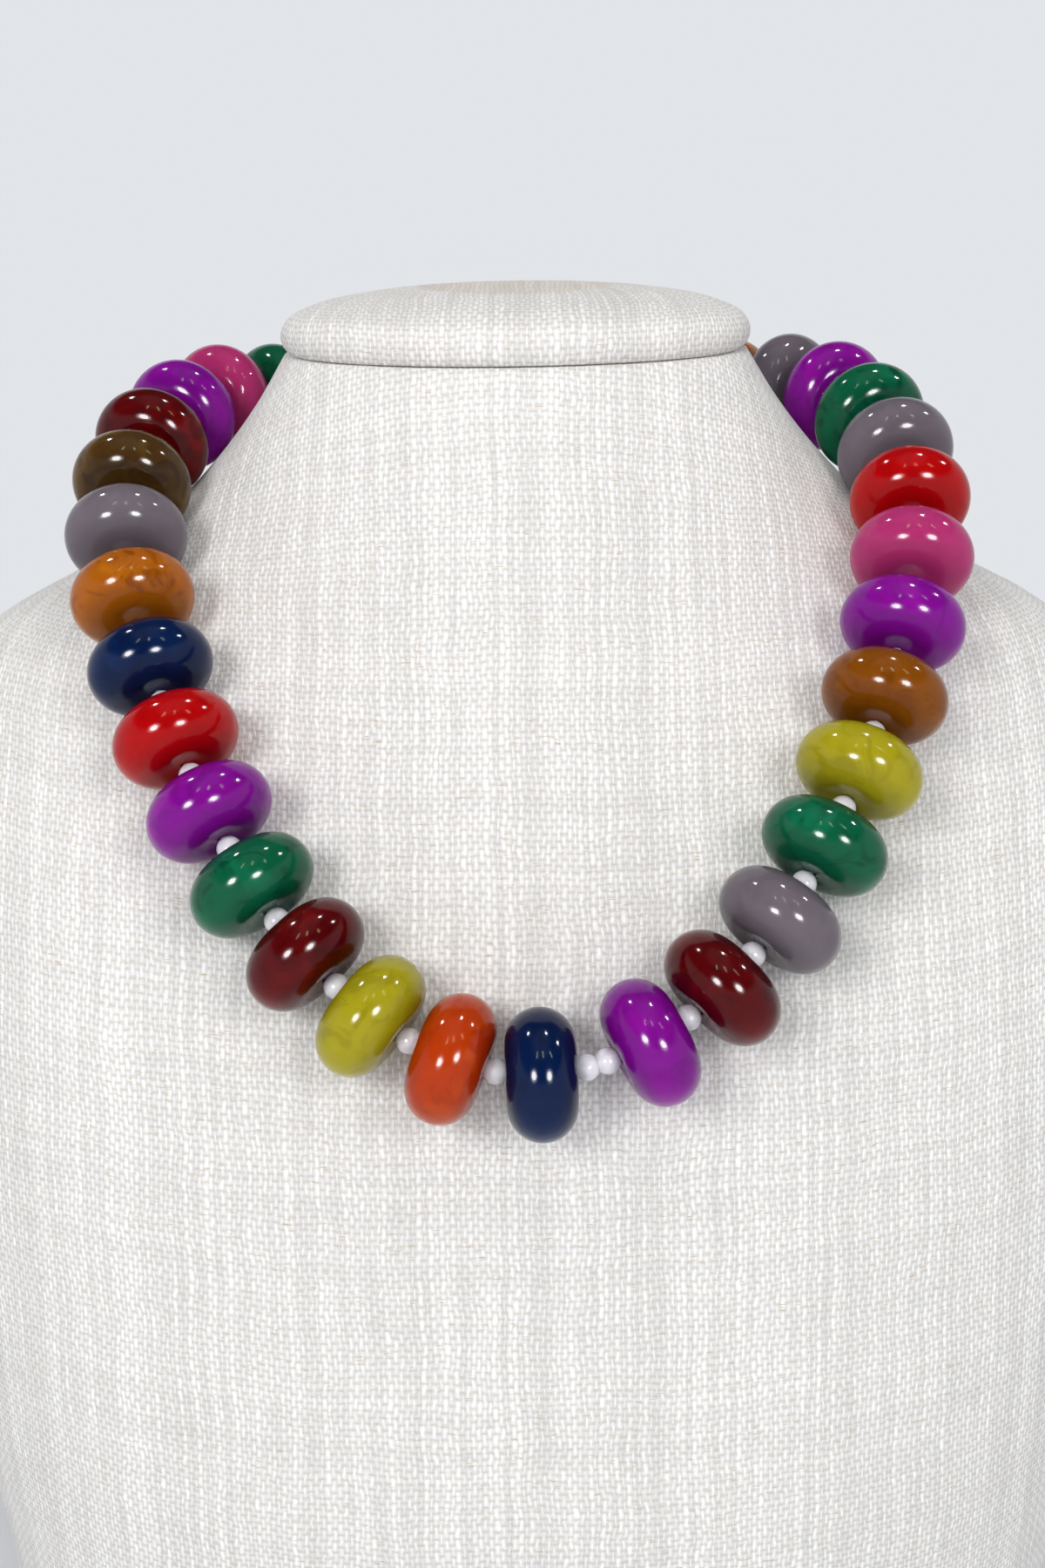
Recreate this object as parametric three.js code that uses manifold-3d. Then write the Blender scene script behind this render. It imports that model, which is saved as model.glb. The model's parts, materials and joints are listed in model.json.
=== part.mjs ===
// A beaded necklace lying on its linen neck bust.
// Millimetres, +Z up. The bust faces -Y and stands on Z = 0, centred on the origin.
//
// The necklace is one closed loop. Large resin rondelles alternate with small round
// spacers on a thin thread, and a plain barrel clasp closes it behind the neck.

import * as THREE from 'three';
import { mergeVertices } from 'three/addons/utils/BufferGeometryUtils.js';
import Module from 'manifold-3d';

const wasm = await Module();
wasm.setup();

// ---------------------------------------------------------------- driving dimensions

const RONDELLE = {
  radius: 10,          // outer radius
  halfThickness: 5.3,  // from the middle to the crown of a face
  crownRadius: 4.7,    // radius at which a face is highest
  holeRadius: 1.1,
  holeHalfLength: 4.7, // the faces dip by the difference towards the hole
  sides: 12,
};

const SPACER = { radius: 2, around: 6, along: 4 };

const THREAD = { radius: 0.45, halfSides: 3, stepsPerBead: 2 };

const CLASP = { length: 12, radius: 2.8, collarRadius: 1.5, collarLength: 1.5, sides: 12 };

const BEAD_PITCH = 13.6;          // centre of one rondelle to the next, with one spacer
const CENTRE_OFFSET = 0.8;        // the middle rondelle lies this far right of the lowest point
const EXTRA_SPACER = 3.3;         // what a second spacer adds, right of the middle rondelle
const GAP = 0.3;                  // clearance that keeps touching pieces apart

const CAP_SEAM_HEIGHT = 235;      // top of the neck, under the padded cap
const BUST_SIDES = 36;

// The right half of the thread's route, from the middle of the chest round to the back
// of the neck. The left half mirrors it, and then the bottom of the loop sways to the
// right, less and less up to SWAY_TOP.
const SWAY = 1.3;
const SWAY_TOP = 215;
const ROUTE = [
  { side: 0, depth: -65.5, height: 139.8 },
  { side: 19, depth: -62.6, height: 144.5 },
  { side: 35.6, depth: -54.5, height: 157 },
  { side: 48.1, depth: -43, height: 172.6 },
  { side: 57.3, depth: -28.7, height: 188.6 },
  { side: 63.5, depth: -12.4, height: 203.8 },
  { side: 65.4, depth: 6.3, height: 215.4 },
  { side: 62, depth: 26.5, height: 222.4 },
  { side: 54.2, depth: 45.6, height: 224.6 },
  { side: 40, depth: 60.7, height: 222.2 },
  { side: 20.8, depth: 72, height: 219.4 },
  { side: 0, depth: 76, height: 218.4 },
];

// Level sections of the bust from the base up. half is half the width, front, middle
// and back are depths, and fullness is the exponent of the superellipse: 2 is an oval.
const BUST_SECTIONS = [
  { height: 0, half: 94, front: -66, middle: 0, back: 66, fullness: 2.3 },
  { height: 3, half: 96, front: -68, middle: 0, back: 68, fullness: 2.3 },
  { height: 30, half: 101, front: -70, middle: 1, back: 70, fullness: 2.3 },
  { height: 62, half: 106, front: -69.5, middle: 3, back: 72, fullness: 2.3 },
  { height: 92, half: 110, front: -64.5, middle: 6, back: 74, fullness: 2.25 },
  { height: 118, half: 112.5, front: -60, middle: 10, back: 76, fullness: 2.2 },
  { height: 137, half: 113, front: -55.3, middle: 14, back: 77, fullness: 2.15 },
  { height: 155, half: 112, front: -46.8, middle: 17, back: 77.5, fullness: 2.1 },
  { height: 170, half: 109, front: -37, middle: 19, back: 77.5, fullness: 2.05 },
  { height: 181, half: 104, front: -29.8, middle: 20, back: 77, fullness: 2 },
  { height: 190, half: 93.2, front: -23.2, middle: 21, back: 74.5, fullness: 2 },
  { height: 197, half: 79.8, front: -18.7, middle: 22, back: 72, fullness: 2 },
  { height: 203, half: 69.2, front: -15.6, middle: 22, back: 69, fullness: 2 },
  { height: 210, half: 60.2, front: -12.6, middle: 22, back: 66, fullness: 2 },
  { height: 218, half: 52.3, front: -9.6, middle: 22, back: 63.5, fullness: 2 },
  { height: 227, half: 45.2, front: -6.4, middle: 22, back: 62, fullness: 2 },
  { height: 235, half: 40.2, front: -3.4, middle: 22.5, back: 61, fullness: 2 },
];

// Level sections of the padded cap: rise above the seam, and size as a share of the
// neck's top section.
const CAP_SECTIONS = [
  { rise: GAP, share: 0.975 },
  { rise: 1.3, share: 1.0 },
  { rise: 3.4, share: 1.013 },
  { rise: 5.8, share: 0.985 },
  { rise: 8, share: 0.88 },
  { rise: 9.7, share: 0.68 },
  { rise: 10.7, share: 0.36 },
];

// Rondelle colours, from the middle of the chest outwards. The last three on each side
// lie behind the neck.
const LEFT_COLOURS = [
  'orange', 'lime', 'maroon', 'green', 'purple', 'red', 'navy', 'amber', 'grey',
  'olive_brown', 'maroon', 'purple', 'pink', 'green', 'orange', 'navy',
];
const RIGHT_COLOURS = [
  'purple', 'maroon', 'grey', 'green', 'lime', 'caramel', 'purple', 'pink', 'red',
  'grey', 'green', 'purple', 'grey', 'amber', 'red', 'maroon',
];

const COLOURS = {
  navy: '#0b2a63',
  orange: '#c8501c',
  lime: '#9d9a23',
  maroon: '#64101a',
  green: '#0f6b46',
  purple: '#8a1596',
  red: '#b81414',
  amber: '#b06e14',
  grey: '#77707c',
  olive_brown: '#4a3418',
  pink: '#b8407c',
  caramel: '#8a4e12',
};

// ---------------------------------------------------------------- materials

function matt(colour) {
  return new THREE.MeshStandardMaterial({ color: colour, roughness: 0.9, metalness: 0 });
}

function glossy(colour) {
  return new THREE.MeshStandardMaterial({ color: colour, roughness: 0.12, metalness: 0 });
}

function metal(colour) {
  return new THREE.MeshStandardMaterial({ color: colour, roughness: 0.3, metalness: 1 });
}

// ---------------------------------------------------------------- geometry helpers

function piece(name, geometry, material) {
  const mesh = new THREE.Mesh(geometry, material);
  mesh.name = name;
  return mesh;
}

function asSolid(geometry) {
  const bare = geometry.clone();
  bare.deleteAttribute('normal');
  bare.deleteAttribute('uv');
  const merged = mergeVertices(bare, 1e-4);
  return new wasm.Manifold(new wasm.Mesh({
    numProp: 3,
    vertProperties: new Float32Array(merged.attributes.position.array),
    triVerts: new Uint32Array(merged.index.array),
  }));
}

function asGeometry(solid) {
  const mesh = solid.getMesh();
  const geometry = new THREE.BufferGeometry();
  geometry.setAttribute('position', new THREE.BufferAttribute(mesh.vertProperties, 3));
  geometry.setIndex(new THREE.BufferAttribute(mesh.triVerts, 1));
  geometry.computeVertexNormals();
  return geometry;
}

// A closed solid through level sections, lowest first. It starts as a cylinder with a
// ring of points for each section, and every point moves out to its section's outline.
function loft(sections, sides) {
  const geometry = new THREE.CylinderGeometry(1, 1, 1, sides, sections.length - 1);
  const position = geometry.attributes.position;
  const last = sections.length - 1;
  for (let i = 0; i < position.count; i += 1) {
    const section = sections[Math.round((position.getY(i) + 0.5) * last)];
    const across = position.getX(i);
    const along = -position.getZ(i);
    const reach = along < 0 ? section.middle - section.front : section.back - section.middle;
    const power = section.fullness;
    const radius = Math.hypot(across, along);
    const size = radius < 1e-6 ? 0 : (
      (Math.abs(across) / section.half) ** power + (Math.abs(along) / reach) ** power
    ) ** (-1 / power);
    position.setXYZ(i, across * size, section.middle + along * size, section.height);
  }
  geometry.computeVertexNormals();
  return geometry;
}

// ---------------------------------------------------------------- the thread's route

function routePoint({ side, depth, height }) {
  const low = Math.max(0, (SWAY_TOP - height) / (SWAY_TOP - ROUTE[0].height));
  return new THREE.Vector3(side + SWAY * low, depth, height);
}

function makeRoute() {
  const left = ROUTE.slice(1, -1).reverse().map((row) => ({ ...row, side: -row.side }));
  const points = [...ROUTE, ...left].map(routePoint);
  const curve = new THREE.CatmullRomCurve3(points, true, 'centripetal');
  curve.arcLengthDivisions = 2000;
  return curve;
}

const route = makeRoute();
const routeLength = route.getLength();

// A distance along the thread is counted from the lowest point of the loop, positive to
// the right. The whole loop is routeLength long.
function onRoute(distance) {
  const share = ((distance / routeLength) % 1 + 1) % 1;
  return route.getPointAt(share);
}

function directionAt(distance) {
  const share = ((distance / routeLength) % 1 + 1) % 1;
  return route.getTangentAt(share);
}

class Stretch extends THREE.Curve {
  constructor(from, to) {
    super();
    this.from = from;
    this.to = to;
  }

  getPoint(t) {
    return onRoute(this.from + (this.to - this.from) * t);
  }
}

function placeOnRoute(mesh, distance) {
  mesh.position.copy(onRoute(distance));
  mesh.quaternion.setFromUnitVectors(new THREE.Vector3(0, 1, 0), directionAt(distance));
  return mesh;
}

// ---------------------------------------------------------------- rondelles

function makeRondelleGeometry() {
  const { radius, halfThickness, crownRadius, holeRadius, holeHalfLength } = RONDELLE;
  const rim = [90, 60, 30, 0, -30, -60, -90].map((degrees) => {
    const angle = THREE.MathUtils.degToRad(degrees);
    const outward = (radius - crownRadius) * Math.cos(angle);
    return new THREE.Vector2(crownRadius + outward, halfThickness * Math.sin(angle));
  });
  const holeTop = new THREE.Vector2(holeRadius, holeHalfLength);
  const holeBottom = new THREE.Vector2(holeRadius, -holeHalfLength);
  const outline = [holeTop, ...rim, holeBottom, holeTop].reverse();
  return new THREE.LatheGeometry(outline, RONDELLE.sides);
}

const rondelleGeometry = makeRondelleGeometry();

function makeRondelle(name, colour, distance) {
  return placeOnRoute(piece(name, rondelleGeometry, glossy(COLOURS[colour])), distance);
}

// Distances of the rondelles along the thread, in order outwards from the middle one.
const leftPlaces = LEFT_COLOURS.map((colour, i) => CENTRE_OFFSET - BEAD_PITCH * (i + 1));
const rightPlaces = RIGHT_COLOURS.map(
  (colour, i) => CENTRE_OFFSET + EXTRA_SPACER + BEAD_PITCH * (i + 1),
);

function makeRondelles() {
  const beads = new THREE.Group();
  beads.add(makeRondelle('rondelle_centre', 'navy', CENTRE_OFFSET));
  LEFT_COLOURS.forEach((colour, i) => {
    const name = `rondelle_left_${String(i + 1).padStart(2, '0')}`;
    beads.add(makeRondelle(name, colour, leftPlaces[i]));
  });
  RIGHT_COLOURS.forEach((colour, i) => {
    const name = `rondelle_right_${String(i + 1).padStart(2, '0')}`;
    beads.add(makeRondelle(name, colour, rightPlaces[i]));
  });
  return beads;
}

// ---------------------------------------------------------------- thread and spacers

const claspMiddle = (leftPlaces.at(-1) + rightPlaces.at(-1) + routeLength) / 2;
const spacerStep = BEAD_PITCH / 2;

function spacerPlaces() {
  const left = leftPlaces.map((place) => place + spacerStep);
  const right = rightPlaces.map((place) => place - spacerStep);
  const second = CENTRE_OFFSET + spacerStep;
  const last = [leftPlaces.at(-1) - spacerStep, rightPlaces.at(-1) + spacerStep];
  return [...left, ...right, second, ...last];
}

// One solid of thread with its spacers threaded on, between two distances.
function makeStrand(name, from, to) {
  const section = new THREE.Shape();
  section.absarc(0, 0, THREAD.radius, 0, Math.PI * 2);
  const beads = Math.round((to - from) / BEAD_PITCH);
  const tube = new THREE.ExtrudeGeometry(section, {
    extrudePath: new Stretch(from, to),
    steps: Math.max(4, beads * THREAD.stepsPerBead),
    curveSegments: THREAD.halfSides,
  });
  let solid = asSolid(tube);
  for (const place of spacerPlaces().filter((p) => p > from && p < to)) {
    const ball = new THREE.SphereGeometry(SPACER.radius, SPACER.around, SPACER.along);
    const turned = placeOnRoute(new THREE.Mesh(ball), place);
    turned.updateMatrix();
    ball.applyMatrix4(turned.matrix);
    solid = solid.add(asSolid(ball));
  }
  return piece(name, asGeometry(solid), glossy('#e6e1e6'));
}

// The loop is split inside four rondelles and at the clasp, where the ends don't show.
function makeStrands() {
  const strands = new THREE.Group();
  const half = GAP / 2;
  const claspEnd = CLASP.length / 2 + GAP;
  const cuts = {
    backLeft: claspMiddle - routeLength + claspEnd,
    left: leftPlaces[10],
    frontLeft: leftPlaces[3],
    frontRight: rightPlaces[3],
    right: rightPlaces[9],
    backRight: claspMiddle - claspEnd,
  };
  strands.add(makeStrand('strand_back_left', cuts.backLeft, cuts.left - half));
  strands.add(makeStrand('strand_left', cuts.left + half, cuts.frontLeft - half));
  strands.add(makeStrand('strand_front', cuts.frontLeft + half, cuts.frontRight - half));
  strands.add(makeStrand('strand_right', cuts.frontRight + half, cuts.right - half));
  strands.add(makeStrand('strand_back_right', cuts.right + half, cuts.backRight));
  return strands;
}

function makeClasp() {
  const half = CLASP.length / 2;
  const shoulder = half - CLASP.collarLength;
  const outline = [
    new THREE.Vector2(0, -half),
    new THREE.Vector2(CLASP.collarRadius, -half),
    new THREE.Vector2(CLASP.collarRadius, -shoulder),
    new THREE.Vector2(CLASP.radius * 0.8, -shoulder + 0.8),
    new THREE.Vector2(CLASP.radius, -shoulder * 0.5),
    new THREE.Vector2(CLASP.radius, shoulder * 0.5),
    new THREE.Vector2(CLASP.radius * 0.8, shoulder - 0.8),
    new THREE.Vector2(CLASP.collarRadius, shoulder),
    new THREE.Vector2(CLASP.collarRadius, half),
    new THREE.Vector2(0, half),
  ];
  const barrel = new THREE.LatheGeometry(outline, CLASP.sides);
  return placeOnRoute(piece('barrel_clasp', barrel, metal('#c9c9cc')), claspMiddle);
}

// ---------------------------------------------------------------- the bust

function makeBust() {
  const bust = new THREE.Group();
  const linen = matt('#ded9d1');
  bust.add(piece('bust_body', loft(BUST_SECTIONS, BUST_SIDES), linen));

  const neckTop = BUST_SECTIONS.at(-1);
  const capSections = CAP_SECTIONS.map(({ rise, share }) => ({
    height: CAP_SEAM_HEIGHT + rise,
    half: neckTop.half * share,
    front: neckTop.middle + (neckTop.front - neckTop.middle) * share,
    middle: neckTop.middle,
    back: neckTop.middle + (neckTop.back - neckTop.middle) * share,
    fullness: neckTop.fullness,
  }));
  bust.add(piece('neck_cap', loft(capSections, BUST_SIDES), linen.clone()));
  return bust;
}

// ---------------------------------------------------------------- the whole object

const necklace = new THREE.Group();
necklace.add(makeBust());
necklace.add(makeRondelles());
necklace.add(makeStrands());
necklace.add(makeClasp());

export default necklace;
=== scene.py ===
"""The looks of a beaded necklace on its linen neck bust.

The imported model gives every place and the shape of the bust. Each rondelle is turned
again as a smooth bead on its own axis, the spacers and thread are strung between them,
and the bust is covered in plain-weave linen. Metres, +Z up, front of the bust towards -Y.
"""

import json
import math

import bpy
import numpy as np
from mathutils import Matrix, Vector


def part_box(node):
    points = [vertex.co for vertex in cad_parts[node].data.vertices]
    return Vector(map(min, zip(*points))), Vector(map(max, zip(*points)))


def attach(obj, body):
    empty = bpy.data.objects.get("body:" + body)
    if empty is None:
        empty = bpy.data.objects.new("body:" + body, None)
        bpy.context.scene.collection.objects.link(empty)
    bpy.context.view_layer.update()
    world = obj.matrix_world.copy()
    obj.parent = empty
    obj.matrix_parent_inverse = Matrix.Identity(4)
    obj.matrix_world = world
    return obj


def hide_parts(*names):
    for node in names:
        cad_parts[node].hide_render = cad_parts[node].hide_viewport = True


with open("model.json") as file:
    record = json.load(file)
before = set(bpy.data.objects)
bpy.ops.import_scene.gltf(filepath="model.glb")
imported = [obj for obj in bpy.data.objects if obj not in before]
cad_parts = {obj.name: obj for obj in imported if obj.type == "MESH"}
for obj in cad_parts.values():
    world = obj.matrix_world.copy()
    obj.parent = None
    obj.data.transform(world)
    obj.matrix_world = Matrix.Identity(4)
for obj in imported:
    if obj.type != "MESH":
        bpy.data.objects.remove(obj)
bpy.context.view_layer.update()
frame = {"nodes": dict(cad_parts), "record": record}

bl_info = {
    "name": "Beaded necklace on a neck bust",
    "version": (1, 0, 0),
    "blender": (4, 5, 0),
    "location": "3D View > Sidebar > Necklace",
    "description": "Smooth rondelles, spacers, thread, clasp and a linen bust",
    "category": "Add Mesh",
}

MM = 0.001
SLOT_OF_NODE = {p["node"]: p["material_slot"] for p in frame["record"]["subparts"]}
RONDELLES = sorted(n for n in frame["nodes"] if n.startswith("rondelle_"))

# What the resin of each colour looks like: its middle tone, the deeper tone of its clouds,
# which is also the painted shade on the drilled faces, the paler tone of its clouds, which
# is also the painted light on its underside, how strong its dark veins and its clouds are,
# and how much light goes into it. Tones are scene-linear RGB.
RESINS = {
    "resin_navy": dict(
        tone=(0.0014, 0.0093, 0.052), deep_and_painted_shade=(0.0007, 0.0043, 0.0246), pale_and_painted_light=(0.0037, 0.0217, 0.0939),
        veins=0.0, mottle=0.4, depth=0.3),
    "resin_orange": dict(
        tone=(0.4258, 0.0385, 0.0024), deep_and_painted_shade=(0.2732, 0.0144, 0.0008), pale_and_painted_light=(0.5302, 0.0763, 0.0048),
        veins=0.8, mottle=0.6, depth=0.55),
    "resin_lime": dict(
        tone=(0.3588, 0.3082, 0.0092), deep_and_painted_shade=(0.2346, 0.2001, 0.0042), pale_and_painted_light=(0.4232, 0.3772, 0.0184),
        veins=0.6, mottle=0.55, depth=0.6),
    "resin_maroon": dict(
        tone=(0.0803, 0.0009, 0.0019), deep_and_painted_shade=(0.0284, 0.0005, 0.0009), pale_and_painted_light=(0.1796, 0.0038, 0.0047),
        veins=0.0, mottle=0.55, depth=0.4),
    "resin_green": dict(
        tone=(0.0024, 0.096, 0.0424), deep_and_painted_shade=(0.0008, 0.0464, 0.0216), pale_and_painted_light=(0.0048, 0.152, 0.072),
        veins=0.15, mottle=0.75, depth=0.5),
    "resin_purple": dict(
        tone=(0.200, 0.0032, 0.248), deep_and_painted_shade=(0.112, 0.0012, 0.156), pale_and_painted_light=(0.3123, 0.0074, 0.3306),
        veins=0.0, mottle=0.4, depth=0.5),
    "resin_red": dict(
        tone=(0.4012, 0.0009, 0.002), deep_and_painted_shade=(0.2507, 0.0005, 0.0009), pale_and_painted_light=(0.5216, 0.004, 0.004),
        veins=0.0, mottle=0.25, depth=0.5),
    "resin_amber": dict(
        tone=(0.3691, 0.0998, 0.0033), deep_and_painted_shade=(0.1628, 0.0347, 0.0011), pale_and_painted_light=(0.4777, 0.1628, 0.0065),
        veins=0.35, mottle=0.7, depth=0.6),
    "resin_grey": dict(
        tone=(0.138, 0.114, 0.137), deep_and_painted_shade=(0.088, 0.072, 0.087), pale_and_painted_light=(0.172, 0.147, 0.168),
        veins=0.0, mottle=0.2, depth=0.3),
    "resin_olive_brown": dict(
        tone=(0.062, 0.028, 0.006), deep_and_painted_shade=(0.022, 0.009, 0.002), pale_and_painted_light=(0.13, 0.066, 0.01),
        veins=0.2, mottle=0.7, depth=0.5),
    "resin_pink": dict(
        tone=(0.3998, 0.0286, 0.1428), deep_and_painted_shade=(0.2856, 0.0152, 0.0905), pale_and_painted_light=(0.476, 0.0476, 0.1904),
        veins=0.0, mottle=0.15, depth=0.5),
    "resin_caramel": dict(
        tone=(0.215, 0.060, 0.0018), deep_and_painted_shade=(0.115, 0.027, 0.001), pale_and_painted_light=(0.310, 0.105, 0.005),
        veins=0.2, mottle=0.5, depth=0.5),
}

# The size of the resin's clouds, its finer folds and the patches that hold veins, in
# waves per metre, and how far light spreads under its surface.
CLOUD_SCALE = 75
FOLD_SCALE = 170
PATCH_SCALE = 90
LIGHT_SPREAD = 1.2 * MM

# Points round and along the fine grids, tubes and spacers.
BUST_GRID = (180, 150)
CAP_GRID = (180, 40)
THREAD_SIDES = 10
THREAD_STEPS = 8
SPACER_SIDES = 24
CLASP_SIDES = 48

# Each strand in order round the loop, with the threaded piece that it ends at. The first
# one starts at the clasp.
STRAND_ENDS = (
    ("strand_back_left", "rondelle_left_11"),
    ("strand_left", "rondelle_left_04"),
    ("strand_front", "rondelle_right_04"),
    ("strand_right", "rondelle_right_10"),
    ("strand_back_right", "barrel_clasp"),
)

# The side of one half of the clasp, from its end to its middle: radius and distance from
# the middle, as shares of the barrel's radius and half length.
CLASP_SIDE = (
    (0.18, 1.0), (0.48, 1.0), (0.53, 0.97), (0.53, 0.80), (0.62, 0.77), (0.80, 0.71),
    (0.93, 0.60), (0.985, 0.46), (1.0, 0.30), (1.0, 0.12), (0.965, 0.075),
    (0.965, 0.025), (1.0, 0.0),
)

# The light all round, by its rise: the sine of the height above the horizon, counted
# higher in front and lower behind and at the sides. It is pale and even where a view
# looks past the bust, darker above that like a room, and brighter overhead.
FRONT_RISE = 0.16
SIDE_RISE = -0.1
SKY_TONES = (
    (0.0, (0.76, 0.78, 0.81)),
    (0.27, (0.76, 0.78, 0.81)),
    (0.42, (0.06, 0.062, 0.065)),
    (0.84, (0.09, 0.092, 0.095)),
    (0.95, (0.45, 0.45, 0.45)),
)

# Lamps aimed at one place inside the chest of the bust. A matt lamp lights surfaces and makes no
# reflection, and a gloss lamp is seen only as a reflection on polished surfaces. Angles
# are in degrees, lengths in metres and power in watts, and a height of None is a disc.
LAMP_TARGET = (0, -0.05, 0.16)
WHITE = (1.0, 1.0, 1.0)
GREENISH = (0.85, 1.0, 0.6)
LAMPS = (
    # name, kind, azimuth, elevation, distance, size, height, power, colour
    ("key_left", "matt", -26, 30, 1.35, 0.5, None, 8.8, WHITE),
    ("glint_left", "gloss", -26, 21, 1.3, 0.33, None, 13.5, WHITE),
    ("halo_left", "gloss", -26, 21, 1.32, 0.54, None, 4.5, WHITE),
    ("key_right", "matt", 26, 30, 1.35, 0.5, None, 5.6, WHITE),
    ("glint_right", "gloss", 26, 21, 1.3, 0.33, None, 13.5, WHITE),
    ("halo_right", "gloss", 26, 21, 1.32, 0.54, None, 4.5, WHITE),
    ("overhead", "matt", 0, 75, 1.5, 1.2, None, 5.5, WHITE),
    ("rear_fill", "matt", 180, 30, 1.4, 0.8, None, 3.5, WHITE),
    ("streak_1", "gloss", -22, 57, 1.5, 0.06, 0.30, 0.9, GREENISH),
    ("streak_2", "gloss", 12, 59, 1.5, 0.06, 0.30, 0.9, GREENISH),
    ("streak_3", "gloss", 51, 51, 1.5, 0.06, 0.30, 0.9, GREENISH),
    ("spot_1", "gloss", -119, 56, 1.5, 0.13, None, 4.6, WHITE),
    ("spot_2", "gloss", 128, 71, 1.5, 0.13, None, 4.6, WHITE),
    ("spot_3", "gloss", 99, 43, 1.5, 0.13, None, 4.6, WHITE),
)

# The floor's rings of points and where it fades out, as distances from the middle.
FLOOR_RINGS = (0.2, 0.5, 1.0, 1.5)
FLOOR_FADE = (0.2, 0.9)
FLOOR_DROP = 0.3 * MM

# ---------------------------------------------------------------- settings

class BeadSettings(bpy.types.PropertyGroup):
    radius: bpy.props.FloatProperty(
        name="Rondelle radius", description="Outer radius of a rondelle",
        default=10 * MM, unit="LENGTH")
    half_thickness: bpy.props.FloatProperty(
        name="Half thickness", description="Middle of a rondelle to the crown of its face",
        default=5.3 * MM, unit="LENGTH")
    crown_radius: bpy.props.FloatProperty(
        name="Crown radius", description="Radius at which a face is highest",
        default=4.7 * MM, unit="LENGTH")
    hole_radius: bpy.props.FloatProperty(
        name="Hole radius", description="Radius of the drilled hole",
        default=0.75 * MM, unit="LENGTH")
    hole_half_length: bpy.props.FloatProperty(
        name="Hole half length", description="Middle of a rondelle to the mouth of its hole",
        default=4.98 * MM, unit="LENGTH")
    sides: bpy.props.IntProperty(
        name="Sides", description="Points round a rondelle", default=72, min=12)
    spacer_radius: bpy.props.FloatProperty(
        name="Spacer radius", description="Radius of a small spacer bead",
        default=2.0 * MM, unit="LENGTH")
    thread_radius: bpy.props.FloatProperty(
        name="Thread radius", description="Radius of the thread",
        default=0.45 * MM, unit="LENGTH")
    spacer_gap: bpy.props.FloatProperty(
        name="Spacer gap", description="One rondelle to the next with a spacer between",
        default=13.6 * MM, unit="LENGTH")
    gloss: bpy.props.FloatProperty(
        name="Polish roughness", description="Roughness of the polished resin",
        default=0.10, min=0, max=1, subtype="FACTOR")


class LinenSettings(bpy.types.PropertyGroup):
    warp_pitch: bpy.props.FloatProperty(
        name="Warp pitch", description="One upright thread to the next",
        default=0.87 * MM, unit="LENGTH", precision=5)
    weft_pitch: bpy.props.FloatProperty(
        name="Weft pitch", description="One level thread to the next",
        default=1.08 * MM, unit="LENGTH", precision=5)
    thread_height: bpy.props.FloatProperty(
        name="Thread height", description="How far the weave stands out",
        default=0.13 * MM, unit="LENGTH", precision=5)
    warp_colour: bpy.props.FloatVectorProperty(
        name="Warp colour", description="Colour of the upright threads", subtype="COLOR",
        default=(0.94, 0.94, 0.94), min=0, max=1)
    weft_colour: bpy.props.FloatVectorProperty(
        name="Weft colour", description="Colour of the level threads", subtype="COLOR",
        default=(0.765, 0.76, 0.77), min=0, max=1)
    # the gap colour is painted shade in the dips between the threads
    gap_shade_colour: bpy.props.FloatVectorProperty(
        name="Gap colour", description="Colour between the threads", subtype="COLOR",
        default=(0.66, 0.625, 0.58), min=0, max=1)
    disc_radius: bpy.props.FloatProperty(
        name="Disc radius", description="Radius of the faint tan disc on the cap",
        default=17 * MM, unit="LENGTH")
    slub_colour: bpy.props.FloatVectorProperty(
        name="Slub colour", description="Colour of stray tan fibres", subtype="COLOR",
        default=(0.50, 0.37, 0.22), min=0, max=1)


class StageSettings(bpy.types.PropertyGroup):
    camera_height: bpy.props.FloatProperty(
        name="Camera height", description="Camera above the floor",
        default=274.1 * MM, unit="LENGTH")
    camera_distance: bpy.props.FloatProperty(
        name="Camera distance", description="Camera in front of the bust's middle",
        default=331.8 * MM, unit="LENGTH")
    camera_pitch: bpy.props.FloatProperty(
        name="Camera pitch", description="How far the camera looks down",
        default=math.radians(18.5), subtype="ANGLE")
    camera_roll: bpy.props.FloatProperty(
        name="Camera roll", description="How far the camera leans to one side",
        default=math.radians(0.9), subtype="ANGLE")
    lens: bpy.props.FloatProperty(
        name="Lens", description="Focal length in millimetres", default=46.0)
    floor_colour: bpy.props.FloatVectorProperty(
        name="Floor colour", description="Colour of the plain floor", subtype="COLOR",
        default=(0.72, 0.73, 0.75), min=0, max=1)
    sky: bpy.props.FloatProperty(
        name="Surrounding light", description="Strength of the light from all round",
        default=1.0, min=0)


# ---------------------------------------------------------------- mesh helpers

def link_piece(name, mesh, material):
    """A smooth piece of one mesh that rides on the root body."""
    mesh.shade_smooth()
    mesh.materials.append(material)
    piece = bpy.data.objects.new(name, mesh)
    bpy.context.scene.collection.objects.link(piece)
    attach(piece, "root")
    return piece


def make_piece(name, points, faces, material, drilled=None):
    """A piece from points and faces. Drilled, where given, says for each point how near it
    lies to a drilled face, from 0 to 1, and sets where the resin's painted shade falls."""
    mesh = bpy.data.meshes.new(name)
    mesh.from_pydata([tuple(p) for p in points], [], faces)
    mesh.validate()
    if drilled is not None:
        layer = mesh.attributes.new("drilled", "FLOAT", "POINT")
        layer.data.foreach_set("value", np.asarray(drilled, dtype=np.float32))
    return link_piece(name, mesh, material)


def ring_faces(rings, sides, closed=False):
    """Quads between rings of points that lie one after another."""
    faces = []
    for ring in range(rings if closed else rings - 1):
        low = ring * sides
        high = ((ring + 1) % rings) * sides
        for side in range(sides):
            after = (side + 1) % sides
            faces.append((low + side, low + after, high + after, high + side))
    return faces


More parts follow.
